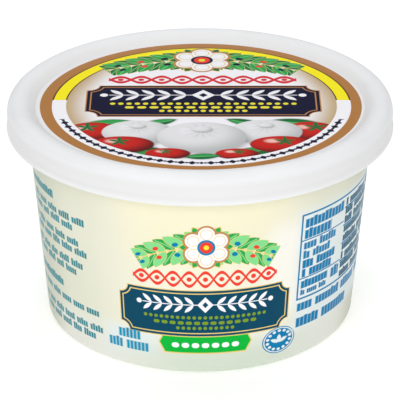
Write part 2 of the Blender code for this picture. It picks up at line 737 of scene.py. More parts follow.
@dataclass(frozen=True)
class Round:
    """A round thing drawn with soft shade, a light spot and a shadow. Its places are shares of its size."""

    centre: Pair
    half: Pair
    ink: Ink
    shade: Ink
    glint: Ink
    gloss: float = 0.5
    shadow_depth: float = 0.5
    shadow_shift: Pair = (0.08, -0.16)
    shadow_fade: Pair = (1.12, 0.8)
    lit_place: Pair = (-0.22, 0.32)
    shade_fade: Pair = (0.55, 1.35)
    glint_place: Pair = (-0.3, 0.42)
    glint_fade: Pair = (0.34, 0.1)

    def lay(self, sheet: Sheet) -> None:
        """Prints the thing.

        Args:
            sheet: the sheet that it is printed on.
        """
        graph = sheet.graph
        (width, height), (right, up) = self.half, self.shadow_shift
        below = (self.centre[0] + width * right, self.centre[1] + height * up)
        shadow = graph.ease(from_oval(sheet.place, below, self.half).length(), *self.shadow_fade)
        sheet.lay(Ink.SHADOW, shadow * self.shadow_depth)
        own = from_oval(sheet.place, self.centre, self.half)
        body = Shape(own.length() * min(self.half), min(self.half))
        depth = graph.ease(own.far(self.lit_place), *self.shade_fade)
        colour = graph.blend(depth, self.ink.colour, self.shade.colour)
        spot = graph.ease(own.far(self.glint_place), *self.glint_fade) * self.gloss
        sheet.print(graph.blend(spot, colour, self.glint.colour), body, SOFT_PICTURE)


@dataclass(frozen=True)
class Ball:
    """A ball of cheese with its gathered knot on top. Its places are shares of its half sizes."""

    centre: Pair
    half: Pair
    top: float = 0.42  # where the folds meet
    folds: float = 11.0
    fold_fade: Pair = (0.62, 0.2)
    fold_depth: Pair = (0.22, 0.2)  # the swing and the middle of the folds' tone
    knot: float = 0.1  # over the folds' middle
    knot_half: Pair = (0.24, 0.2)

    def lay(self, sheet: Sheet) -> None:
        """Prints the ball.

        Args:
            sheet: the sheet that it is printed on.
        """
        graph = sheet.graph
        Round(self.centre, self.half, Ink.CHEESE, Ink.CHEESE_SHADE, Ink.PAPER).lay(sheet)
        width, height = self.half
        top = (self.centre[0], self.centre[1] + height * self.top)
        local = sheet.place - top
        folds = (graph.bearing(local) * self.folds).sine()
        near = graph.ease(local.length(), height * self.fold_fade[0], height * self.fold_fade[1])
        sheet.lay(Ink.CHEESE_SHADE, near * folds.times_plus(*self.fold_depth, clamp=True))
        knot = (top[0], top[1] + height * self.knot)
        knot_half = (width * self.knot_half[0], height * self.knot_half[1])
        Round(knot, knot_half, Ink.CHEESE, Ink.CHEESE_SHADE, Ink.PAPER).lay(sheet)


@dataclass(frozen=True)
class Tomato:
    """A small tomato with a star of green on it."""

    centre: Pair
    half: Pair
    star: Pair = (0.3, 0.35)  # its place, in shares of the half sizes
    gloss: float = 0.8
    rays: int = 5
    ray_reach: float = 0.26  # this and the next are shares of the half height
    ray_half: Pair = (0.3, 0.1)

    def lay(self, sheet: Sheet) -> None:
        """Prints the tomato.

        Args:
            sheet: the sheet that it is printed on.
        """
        graph = sheet.graph
        Round(self.centre, self.half, Ink.TOMATO, Ink.TOMATO_SHADE, Ink.GLINT, self.gloss).lay(sheet)
        width, height = self.half
        middle = (self.centre[0] + self.star[0] * width, self.centre[1] + self.star[1] * height)
        ray = graph.folded_round(sheet.place - middle, self.rays)
        own = graph.turned(ray, (0.0, height * self.ray_reach), 90.0)
        blade = leaf(own, (height * self.ray_half[0], height * self.ray_half[1]))
        sheet.print(Ink.DEEP_GREEN, blade, SOFT_LEAF)


@dataclass(frozen=True)
class BasilLeaf:
    """A broad leaf with a light half, a vein and a shadow."""

    centre: Pair
    half: Pair
    turn: float  # degrees
    shadow: Triple = (0.3, 1.2, 0.5)  # how far it spreads, how soft it is and how deep
    light_inset: float = 0.3
    light_start: float = 0.2  # from the vein
    light_soft: float = 0.5
    vein_inset: float = 0.8
    vein: float = 0.14  # half its width

    def lay(self, sheet: Sheet) -> None:
        """Prints the leaf.

        Args:
            sheet: the sheet that it is printed on.
        """
        own = sheet.graph.turned(sheet.place, self.centre, self.turn)
        blade = leaf(own, self.half)
        spread, soft, depth = self.shadow
        sheet.lay(Ink.SHADOW, blade.grown(spread).share(soft) * depth)
        sheet.print(Ink.DEEP_GREEN, blade, SOFT_LEAF)
        light = blade.grown(-self.light_inset) & Shape(-own.y, -self.light_start)
        sheet.print(Ink.GREEN, light, self.light_soft)
        sheet.print(Ink.BRIGHT_GREEN, blade.grown(-self.vein_inset) & Shape(abs(own.y), self.vein))


@dataclass(frozen=True)
class TickStyle:
    """How the ticks of a row are drawn."""

    height: float
    ragged: float = 0.0  # how much shorter a row may be
    weight: float = 0.62  # a tick's share of its cell
    gap: float = 0.17  # the share of a row that is left open between the groups
    body: float = 0.5  # how dark a group is between its ticks
    step: float = 0.45  # from tick to tick, as a share of the height
    fill: float = 0.4  # half of a low tick, as a share of the height
    tall: float = 0.1  # how much more a tall tick rises, as a share of the height
    low_share: float = 0.68  # of the ticks


class Ticks(Enum):
    """The kinds of rows of ticks, from the tub's left to its right."""

    BROAD = TickStyle(2.8, weight=0.7, gap=0.0, body=0.6)
    FINE = TickStyle(2.4, ragged=0.12)
    FINE_FULL = TickStyle(2.4, ragged=0.05)
    FINE_CLOSING = TickStyle(2.4, ragged=0.06)
    LARGE = TickStyle(3.7, weight=0.6, gap=0.14, step=0.34)
    LOWER_MIDDLE = TickStyle(3.4, weight=0.7, gap=0.12, body=0.7)
    LOWER_BROAD = TickStyle(4.0, weight=0.76, gap=0.1, body=0.65, step=0.4)
    TABLE_BROAD = TickStyle(3.7, weight=0.76, gap=0.0, body=0.55, step=0.42)
    TABLE_TALL = TickStyle(4.0, weight=0.76, gap=0.0, body=0.55, step=0.42)
    TABLE_PLAIN = TickStyle(2.8, ragged=0.1, weight=0.64, gap=0.14, body=0.65)
    TABLE_BOLD = TickStyle(3.15, ragged=0.15, weight=0.78, gap=0.14, body=0.7)
    TABLE_SOLID = TickStyle(3.1, weight=0.78, gap=0.0, body=0.7)
    TABLE_SMALL = TickStyle(1.9, weight=0.7, body=0.7)
    TABLE_FAR = TickStyle(2.6, weight=0.8, gap=0.08, body=0.75)


@dataclass(frozen=True)
class Rows:
    """Rows of short plain ticks in groups of uneven length."""

    span: Pair  # the left and right ends
    top: float
    ticks: Ticks
    ink: Ink = Ink.TEAL
    pitch: float = 2.95
    count: int = 1
    seed_step: float = 37.0  # from row to row, so that their random ticks differ

    def lay(self, sheet: Sheet) -> None:
        """Prints the rows.

        Args:
            sheet: the sheet that they are printed on.
        """
        graph = sheet.graph
        style = self.ticks.value
        left, right = self.span
        across, up = sheet.place.x, sheet.place.y
        down = up.times_plus(-1 / self.pitch, self.top / self.pitch)
        row = down.floor()
        cell = style.height * style.step
        along = across.times_plus(1 / cell, -left / cell)
        column = along.floor()
        seed = row.times_plus(self.seed_step, self.top + 0.5)
        lift = (graph.scatter(column + seed) > style.low_share) * (style.height * style.tall)
        tick = Shape(abs(along - column - 0.5) * cell, cell * style.weight / 2)
        bar = Shape(abs((down - row - 0.5) * self.pitch + lift) - lift, style.height * style.fill)
        length = right - left
        middle = ((left + right) / 2, self.top - self.count * self.pitch / 2)
        area = block(sheet.place, middle, (length / 2, self.count * self.pitch / 2))
        share = (bar & area).share() * tick.share().times_plus(1.0 - style.body, style.body)
        if style.gap:
            chance = graph.scatter(seed)
            group = column.times_plus(style.gap, chance)
            number = group.floor()
            share = share * (group - number > style.gap)
            if style.ragged:
                groups = length * style.gap / cell
                last = chance.times_plus(1.0 - style.ragged * groups, groups - 1.0)
                share = share * (number < last)
        sheet.lay(self.ink, share)


@dataclass(frozen=True)
class RuledTable:
    """A plain frame with rules across it, and rows of ticks and bars in its two columns."""

    left: float = 31.4
    right: float = 84.0
    top: float = -17.7
    bottom: float = -46.3
    divider: float = 50.5
    inset: float = 1.1  # from the frame to the ticks
    border: float = 0.6
    rules: Pair = (-26.4, -39.4)  # in the near column
    rule: float = 0.2  # half its height
    bars: tuple[float, ...] = (-21.9, -28.0, -34.1, -40.2)  # in the far column
    bar: float = 0.32  # half its height
    ground: Pair = (-36.5, 20.0)  # the middle and the half height of the pale ground

    def lay(self, sheet: Sheet) -> None:
        """Prints the table.

        Args:
            sheet: the sheet that it is printed on.
        """
        middle = ((self.left + self.right) / 2, (self.top + self.bottom) / 2)
        half = ((self.right - self.left) / 2, (self.top - self.bottom) / 2)
        border = block(sheet.place, middle, half)
        across, up = sheet.place.x, sheet.place.y
        ground = block(sheet.place, (middle[0], self.ground[0]), (half[0] + 1.0, self.ground[1]))
        sheet.lay(Ink.RIME, ground.share(GROUND_SOFT) * GROUND_SHARE)
        lines = border.line(self.border)
        for height in self.rules:
            lines = lines | (Shape(abs(up - height), self.rule) & Shape(across, self.divider) & border)
        for height in self.bars:
            lines = lines | (Shape(abs(up - height), self.bar) & Shape(-across, -self.divider) & border)
        sheet.print(Ink.BLUE, lines)
        for rows in self.rows():
            rows.lay(sheet)

    def rows(self) -> tuple[Rows, ...]:
        """The rows of ticks in the two columns.

        Returns:
            The rows, from the top of the near column to the far one.
        """
        near, far = self.left + self.inset, self.divider
        return (
            Rows((near, far - 0.8), -18.9, Ticks.TABLE_BROAD, Ink.BLUE, 3.75),
            Rows((near, far - 6.8), -22.6, Ticks.TABLE_BROAD, Ink.BLUE, 3.75),
            Rows((near, far - 0.5), -26.8, Ticks.TABLE_PLAIN, Ink.BLUE, 3.2, 2),
            Rows((near, far - 0.5), -33.2, Ticks.TABLE_BOLD, Ink.BLUE, 3.05, 2),
            Rows((near, far - 6.5), -40.1, Ticks.TABLE_SOLID, Ink.BLUE, 3.0),
            Rows((far - 4.8, far - 0.6), -40.1, Ticks.TABLE_TALL, Ink.BLUE, 4.0),
            Rows((near, far - 7.0), -43.3, Ticks.TABLE_SMALL, Ink.BLUE, 2.2),
            Rows((far + 0.5, self.right - 1.5), -18.8, Ticks.TABLE_FAR, Ink.DEEP_BLUE, 3.05, 9),
        )


@dataclass(frozen=True)
class Seal:
    """A small oval seal with a ring of beads and a sprig. Its other sizes are shares of its radius."""

    centre: Pair
    radius: float
    stretch: float = 1.28  # how much wider it is than it is high
    ring: Pair = (0.9, 0.035)  # the radius and half the width of the line
    beads: int = 14
    bead_ring: float = 0.7
    bead: float = 0.1
    sprig: Triple = (90.0, 30.0, 150.0)  # the turns of its leaves, in degrees
    sprig_reach: float = 0.28
    sprig_drop: float = 0.16
    leaf_half: Pair = (0.3, 0.13)

    def lay(self, sheet: Sheet) -> None:
        """Prints the seal.

        Args:
            sheet: the sheet that it is printed on.
        """
        graph = sheet.graph
        size = self.radius
        local = (sheet.place - self.centre) * (1 / self.stretch, 1.0)
        reach = local.length()
        sheet.print(Ink.BLUE, Shape(reach, size))
        sheet.print(Ink.RIME, Shape(abs(reach - size * self.ring[0]), size * self.ring[1]))
        bead = disc(graph.folded_round(local, self.beads), (0.0, size * self.bead_ring), size * self.bead)
        sheet.print(Ink.RIME, bead)
        for turn in self.sprig:
            angle = math.radians(turn)
            across = size * self.sprig_reach * math.cos(angle)
            up = size * (self.sprig_reach * math.sin(angle) - self.sprig_drop)
            own = graph.turned(local, (across, up), turn)
            sheet.print(Ink.RIME, leaf(own, (size * self.leaf_half[0], size * self.leaf_half[1])))


@dataclass(frozen=True)
class Tag:
    """A green label with pointed ends, a gold edge and a row of light dashes."""

    centre: Pair
    half: Pair
    border: float = 0.4
    point: float = 0.5  # how far the ends run in for each step up or down
    dashes: int = 7
    pitch: float = 3.1
    dash_half: Pair = (1.15, 0.85)
    dash_drop: float = 0.75

    def lay(self, sheet: Sheet) -> None:
        """Prints the tag.

        Args:
            sheet: the sheet that it is printed on.
        """
        local = sheet.place - self.centre
        side = abs(local.x)
        body = Shape(side + abs(local.y) * self.point, self.half[0]) & Shape(abs(local.y), self.half[1])
        sheet.print(Ink.PALE_GOLD, body.grown(self.border))
        sheet.print(Ink.TAG_GREEN, body)
        spot = sheet.graph.place(local.x.wrapped(-self.pitch / 2, self.pitch / 2), local.y)
        bar = pill(spot, (0.0, -self.dash_drop), self.dash_half)
        sheet.print(Ink.PAPER, bar & Shape(side, self.pitch * self.dashes / 2))


# ---------------------------------------------------------------- the two prints


@dataclass(frozen=True)
class LidPrint:
    """The round print on the lid's panel, with the sheet's axes to the right and to the back."""

    height: float  # of the panel, in metres
    depth: float = 0.3  # how far under the panel a point still counts as on it
    radius: float = 48.75
    centre: Pair = (0.25, 0.25)  # how far the print is off the lid's middle
    band: Pair = (41.0, 45.3)  # the light band inside the brown ring
    slip: Pair = (0.45, 0.0)  # how far the print inside the ring is off centre
    horizon: float = 3.0  # where the band turns from yellow to white
    bead_pitch: float = math.radians(4.2)
    bead_half: Pair = (1.35, 1.25)
    bead_top: float = -11.5  # how high up the beads on the band run
    dot: float = 0.5
    ring_line: float = 0.15  # the dark line outside the yellow
    ring_inset: float = 0.3
    field_line: float = 0.4  # the dark line round the upper field
    tan_rise: Pair = (10.0, 1.5)  # where the tan starts inside the field's edge, and ends outside it
    tan_sides: Pair = (18.0, 37.0)  # where it starts and is whole, left and right
    garland: Garland = Garland(
        (0.6, -20.0), 55.0, 31.5, 7.6, (5.6, 2.25), 9.4, (Ink.DEEP_GREEN, Ink.GREEN), Ink.NAVY
    )
    braid: Braid = Braid((0.8, 19.0), (28.5, 3.6), 9, 1.8, Ink.CRIMSON)
    cartouche: Cartouche = Cartouche((1.0, 2.3), (35.4, 11.7), 3.8, Ink.NAVY, Ink.GOLD, Ink.LEMON)
    food: tuple[BasilLeaf | Ball | Tomato, ...] = (  # from the back to the front
        BasilLeaf((-28.0, -14.8), (8.0, 2.8), 12.0),
        BasilLeaf((29.0, -14.2), (8.0, 2.8), 168.0),
        BasilLeaf((-12.5, -14.2), (6.0, 2.2), 24.0),
        BasilLeaf((13.5, -14.0), (6.0, 2.2), 156.0),
        Tomato((-31.8, -20.6), (8.4, 6.6), (-0.2, 0.45)),
        Tomato((32.8, -20.2), (8.4, 6.6), (0.2, 0.45)),
        BasilLeaf((-14.0, -35.2), (8.0, 3.0), 160.0),
        BasilLeaf((15.6, -35.2), (8.0, 3.0), 20.0),
        Ball((-18.5, -21.2), (10.6, 8.6)),
        Ball((19.5, -20.8), (10.8, 8.8)),
        Tomato((-22.8, -30.2), (9.4, 6.0), (-0.1, 0.4)),
        Tomato((24.0, -30.0), (9.4, 6.0), (0.1, 0.4)),
        Ball((0.5, -24.8), (13.2, 11.0)),
        Tomato((-9.4, -36.6), (6.6, 3.9), (-0.1, 0.4)),
        Tomato((10.8, -36.8), (6.4, 3.8), (0.1, 0.4)),
        BasilLeaf((0.8, -38.6), (5.2, 2.0), 6.0),
    )

    def lay(self, graph: Graph, place: Value, plastic: Value) -> tuple[Value, Value]:
        """Prints the lid.

        Args:
            graph: the material's graph.
            place: the place on the lid, in metres.
            plastic: the bare plastic's colour.

        Returns:
            The colour, and the share of each point that is printed.
        """
        sheet = Sheet(graph, place * (1 / MM, 1 / MM), Ink.BROWN.colour)
        self._lay_band(sheet)
        self._lay_field(sheet)
        self.garland.lay(sheet)
        self.braid.lay(sheet)
        self.cartouche.lay(sheet)
        upper = place.z > self.height - self.depth * MM
        printed = disc(sheet.place, self.centre, self.radius).share() * upper
        return graph.blend(printed, plastic, sheet.colour), printed

    def _lay_band(self, sheet: Sheet) -> None:
        """Prints the yellow and white band, and the lozenges and dots on its white part.

        Args:
            sheet: the lid's sheet.
        """
        graph = sheet.graph
        inner, outer = self.band
        local = sheet.place - self.slip
        reach = local.length()
        upper = Shape(-local.y, -self.horizon)
        sheet.print(Ink.PAPER, Shape(reach, outer))
        sheet.print(Ink.LINE, Shape(reach, outer + self.ring_line) & upper)
        sheet.print(Ink.YELLOW, Shape(reach, outer - self.ring_inset) & upper)
        middle = (inner + outer) / 2
        pitch = self.bead_pitch
        bearing = graph.bearing(local)
        lower = Shape(local.y, self.bead_top)
        step = bearing.wrapped(-pitch / 2, pitch / 2) * middle
        spot = graph.place(step, reach - middle)
        sheet.print(Ink.NAVY, lozenge(spot, (0.0, 0.0), self.bead_half) & lower)
        between = (bearing + pitch / 2).wrapped(-pitch / 2, pitch / 2) * middle
        dot = disc(graph.place(between, reach - middle), (0.0, 0.0), self.dot)
        sheet.print(Ink.NAVY, dot & lower)

    def _lay_field(self, sheet: Sheet) -> None:
        """Prints the pale field, its tan edge, and the food on its near half.

        Args:
            sheet: the lid's sheet.
        """
        graph = sheet.graph
        inner = self.band[0]
        local = sheet.place - self.slip
        reach = local.length()
        edge = graph.ease(reach, inner - self.tan_rise[0], inner + self.tan_rise[1])
        edge = edge * graph.ease(abs(local.x), *self.tan_sides)
        field = replace(sheet, colour=graph.blend(edge, Ink.PAPER.colour, Ink.TAN.colour))
        for thing in self.food:
            thing.lay(field)
        sheet.print(Ink.LINE, Shape(reach, inner + self.field_line) & Shape(-local.y, -self.horizon))
        sheet.print(field.colour, Shape(reach, inner))


@dataclass(frozen=True)
class TubPrint:
    """The print round the tub's wall, front and back alike.

    The sheet's first axis is the way round from the front, at the radius where the wall is unrolled, and
    its second is the height over the lid's panel.
    """

    panel_height: float  # in metres
    unroll_radius: float = 50.0
    window: Pair = (-82.0, 98.0)  # the degrees round from the front that one print spans
    middle: float = 1.7  # of the front's panel, along the first axis
    tag: Tag = Tag((1.7, -56.4), (14.2, 3.3))
    garland: Garland = Garland(
        (1.8, -64.5), 41.0, 21.5, 5.8, (4.2, 1.7), 7.0, (Ink.GREEN, Ink.SPRING), Ink.BLUE
    )
    braid: Braid = Braid((1.6, -34.3), (21.5, 2.9), 9, 1.1)
    cartouche: Cartouche = Cartouche(
        (1.6, -46.1), (26.5, 7.8), 2.8, Ink.PETROL, Ink.PALE_GOLD, Ink.OLIVE, 0.5
    )
    seal: Seal = Seal((25.6, -58.5), 4.55)
    table: RuledTable = RuledTable()
    rows: tuple[Rows, ...] = (
        Rows((-68.0, -51.0), -16.3, Ticks.BROAD, pitch=3.2),
        Rows((-68.0, -32.5), -21.0, Ticks.FINE, count=2),
        Rows((-68.0, -32.5), -28.7, Ticks.FINE, count=2),
        Rows((-68.0, -33.0), -36.2, Ticks.FINE, count=2),
        Rows((-68.0, -50.0), -45.7, Ticks.BROAD, pitch=3.2),
        Rows((-68.0, -32.5), -50.6, Ticks.FINE_FULL),
        Rows((-68.0, -29.0), -56.0, Ticks.FINE_CLOSING, count=2),
        Rows((-27.5, -18.7), -53.6, Ticks.LARGE, Ink.AQUA, 3.8),
        Rows((-30.0, -15.5), -57.4, Ticks.LARGE, Ink.AQUA, 3.8),
        Rows((31.6, 84.0), -47.4, Ticks.LOWER_MIDDLE, Ink.BLUE, 3.6),
        Rows((31.6, 58.2), -52.6, Ticks.LOWER_BROAD, Ink.BLUE, 3.8),
    )

    def lay(self, graph: Graph, place: Value, plastic: Value) -> Value:
        """Prints the wall.

        Args:
            graph: the material's graph.
            place: the place on the tub, in metres.
            plastic: the bare plastic's colour.

        Returns:
            The colour.
        """
        turn = graph.bearing(place * (1.0, -1.0))
        low, high = (math.radians(edge) for edge in self.window)
        round_way = turn.wrapped(low, high) * self.unroll_radius
        height = place.z.times_plus(1 / MM, -self.panel_height / MM)
        sheet = Sheet(graph, graph.place(round_way, height), plastic)
        self._lay_tones(sheet)
        for motif in (self.tag, self.garland, self.braid, self.cartouche, self.seal, self.table, *self.rows):
            motif.lay(sheet)
        return sheet.colour

    def _lay_tones(self, sheet: Sheet) -> None:
        """Prints the ground's soft fields: painted shade darker at the sides, a pale middle that is partly
        the print's halo and partly painted light, a painted highlight to the right, and greener at the foot.

        Args:
            sheet: the wall's sheet.
        """
        graph = sheet.graph
        across, up = sheet.place.x, sheet.place.y
        off = abs(across - self.middle)
        # each fade goes from where a tone starts to where it is whole
        # painted shade: the wall darker towards its sides
        sides = graph.ease(off, 44.0, 66.0)
        # partly the print's pale halo and partly painted light: paler round the middle, and yellower in its
        # upper part
        panel = graph.ease(off, 42.0, 14.0)
        upper = graph.ease(off, 34.0, 12.0) * graph.ease(up, -40.0, -20.0)
        # a painted highlight: a pale upright stripe right of the middle
        right = graph.ease(abs(across - 28.0), 12.0, 3.0) * graph.ease(abs(up + 34.0), 20.0, 10.0)
        low = graph.ease(up, -50.0, -60.0) * graph.ease(off, 64.0, 46.0)
        patch = block(sheet.place, (-22.0, -57.6), (8.0, 4.0)).share(GROUND_SOFT) * GROUND_SHARE
        foot = graph.ease(up, -53.0, -62.0) * graph.ease(abs(across - 8.0), 44.0, 6.0)
        inks = (Ink.STRAW, Ink.MILK, Ink.BUTTER, Ink.PAINTED_HIGHLIGHT, Ink.FOAM, Ink.RIME, Ink.WHEY)
        for ink, share in zip(inks, (sides, panel, upper, right, low, patch, foot)):
            sheet.lay(ink, share)


# ---------------------------------------------------------------- finishes


@dataclass(frozen=True)
class Plastic:
    """A moulded plastic: how rough it is, and how far fine waves and grain lift its surface."""

    name: str
    roughness: float
    uneven: float  # how much the roughness varies
    print_sheen: float  # how much smoother the printed film is
    grain: float  # the height of the grain, in metres
    sheen: float  # the strength of its mirror light
    cloud_scale: float = 60.0  # in clouds for each metre, and so is the next
    grain_scale: float = 900.0
    refraction: float = 1.5

    def dress(self, piece: bpy.types.Object, graph: Graph, place: Value, colour: Value, film: Term) -> None:
        """Gives a piece the plastic.

        Args:
            piece: the piece.
            graph: the material's graph.
            place: the place on the piece, in metres.
            colour: the colour with its print.
            film: the share of each point that the print covers.
        """
        cloud = graph.noise(place, self.cloud_scale)
        rough = cloud.times_plus(self.uneven, self.roughness - self.uneven / 2)
        rough = graph.maths("MULTIPLY_ADD", film, -self.print_sheen, rough)
        height = graph.noise(place, self.grain_scale).times_plus(0.5, cloud)
        relief = {"Strength": 1.0, "Distance": self.grain, "Height": height}
        normal = graph.value("ShaderNodeBump", {}, relief)
        sockets = {
            "Base Color": colour,
            "Roughness": rough,
            "Normal": normal,
            "IOR": self.refraction,
            "Specular IOR Level": self.sheen,
        }
        shader = graph.value("ShaderNodeBsdfPrincipled", {}, sockets)
        graph.add("ShaderNodeOutputMaterial", {}, {"Surface": shader})
        piece.data.materials.append(graph.material)


# ---------------------------------------------------------------- the tub and its lid


def arc(centre: Pair, radius: float, start: float, end: float, steps: int) -> Outline:
    """Points along an arc of an outline.

    Args:
        centre: the arc's middle, as radius and height.
        radius: the arc's radius.
        start: the angle of its first point, in radians.
        end: the angle of its last point.
        steps: how many parts it is cut into.

    Returns:
        The points, both ends included.
    """
    angles = (start + (end - start) * i / steps for i in range(steps + 1))
    return [(centre[0] + radius * math.cos(a), centre[1] + radius * math.sin(a)) for a in angles]


def span(start: Pair, end: Pair, steps: int) -> Outline:
    """Points along a straight stretch of an outline, without its two ends."""
    shares = (i / steps for i in range(1, steps))
    return [(start[0] + (end[0] - start[0]) * s, start[1] + (end[1] - start[1]) * s) for s in shares]


@dataclass(frozen=True)
class DiscChart:
    """A stretch of an outline laid out in the UV map as a disc, with the turning axis in its middle."""

    centre: Pair
    radius: float
    inward: bool = False  # whether the outline runs towards the axis

    def spot(self, share: float, turn: float, _first: float) -> Pair:
        """Where a point is in the UV map.

        Args:
            share: how far along the stretch it is.
            turn: how far round it is, as a share of the whole turn.
            _first: how far round its face starts, which a disc makes no use of.

        Returns:
            Its place.
        """
        reach = self.radius * (1.0 - share if self.inward else share)
        angle = math.tau * turn
        return (self.centre[0] + reach * math.sin(angle), self.centre[1] - reach * math.cos(angle))


@dataclass(frozen=True)
class StripChart:
    """A stretch of an outline laid out in the UV map as upright strips, side by side in rows."""

    low: Pair
    high: Pair
    columns: int = 2
    rows: int = 2
    margin: float = 0.01  # of a strip's own cell

    def spot(self, share: float, turn: float, first: float) -> Pair:
        """Where a point is in the UV map.

        Args:
            share: how far along the stretch it is.
            turn: how far round it is, as a share of the whole turn.
            first: how far round its face starts, which gives the strip.

        Returns:
            Its place.
        """
        count = self.columns * self.rows
        number = int(first * count)
        row, column = divmod(number, self.columns)
        inside = 1.0 - 2.0 * self.margin
        across = (column + self.margin + (turn * count - number) * inside) / self.columns
        up = (row + self.margin + (1.0 - share) * inside) / self.rows
        return (
            self.low[0] + across * (self.high[0] - self.low[0]),
            self.low[1] + up * (self.high[1] - self.low[1]),
        )


Chart = DiscChart | StripChart
Ring = list[bmesh.types.BMVert]


@dataclass(frozen=True)
class Lathe:
    """Turns an outline round Z into one closed piece with a UV map."""

    turns: int = 288
    start: float = -math.pi / 4  # the angle of the first point, from the front
    sharp: float = math.radians(40)

    def turn(self, name: str, stretches: list[tuple[Outline, Chart]]) -> bpy.types.Object:
        """Makes a piece.

        Args:
            name: the piece's name.
            stretches: its outline's parts, from the axis on top, out and down, and back to the axis, each
                with its place in the UV map. A part starts at the point where the one before it ends.

        Returns:
            The piece, riding on the body.
        """
        shape = bmesh.new()
        layer = shape.loops.layers.uv.new(BAKE_MAP)
        upper = None
        for outline, chart in stretches:
            lengths = self._lengths(outline)
            for i, point in enumerate(outline):
                if i == 0 and upper is not None:
                    continue
                lower = self._ring(shape, point)
                if upper is not None:
                    self._bridge(shape, layer, upper, lower, chart, (lengths[i - 1], lengths[i]))
                upper = lower
        mesh = bpy.data.meshes.new(name)
        shape.to_mesh(mesh)
        shape.free()
        mesh.shade_smooth()
        mesh.set_sharp_from_angle(angle=self.sharp)
        piece = bpy.data.objects.new(name, mesh)
        bpy.context.scene.collection.objects.link(piece)
        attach(piece, BODY)
        return piece

    @staticmethod
    def _lengths(outline: Outline) -> list[float]:
        """How far along the outline each point is.

        Args:
            outline: the outline.

        Returns:
            A share of the whole length for each point.
        """
        lengths = [0.0]
        for before, after in zip(outline, outline[1:]):
            lengths.append(lengths[-1] + math.dist(before, after))
        return [length / lengths[-1] for length in lengths]

    def _ring(self, shape: bmesh.types.BMesh, point: Pair) -> Ring:
        """Adds the points of one ring, or the one point on the axis.

        Args:
            shape: the mesh.
            point: the outline's point, as radius and height.

        Returns:
            The ring.
        """
        radius, height = point
        if radius == 0.0:
            return [shape.verts.new((0.0, 0.0, height))]
        angles = (self.start + math.tau * i / self.turns for i in range(self.turns))
        return [shape.verts.new((radius * math.sin(a), -radius * math.cos(a), height)) for a in angles]

    def _bridge(
        self,
        shape: bmesh.types.BMesh,
        layer: bmesh.types.BMLayerItem,
        upper: Ring,
        lower: Ring,
        chart: Chart,
        shares: Pair,
    ) -> None:
        """Joins two rings by faces, and gives the faces their places in the UV map.

        Args:
            shape: the mesh.
            layer: the mesh's UV layer.
            upper: the ring that comes first on the outline.
            lower: the ring after it.
            chart: where the stretch lies in the UV map.
            shares: how far along the stretch the two rings are.
        """
        for i in range(self.turns):
            corners = [(upper, i, shares[0]), (lower, i, shares[1])]
            corners += [(lower, i + 1, shares[1]), (upper, i + 1, shares[0])]
            if len(lower) == 1:
                corners.pop(2)
            if len(upper) == 1:
                corners.pop()
            face = shape.faces.new([ring[step % len(ring)] for ring, step, _ in corners])
            for loop, (_, step, share) in zip(face.loops, corners):
                loop[layer].uv = chart.spot(share, step / self.turns, i / self.turns)


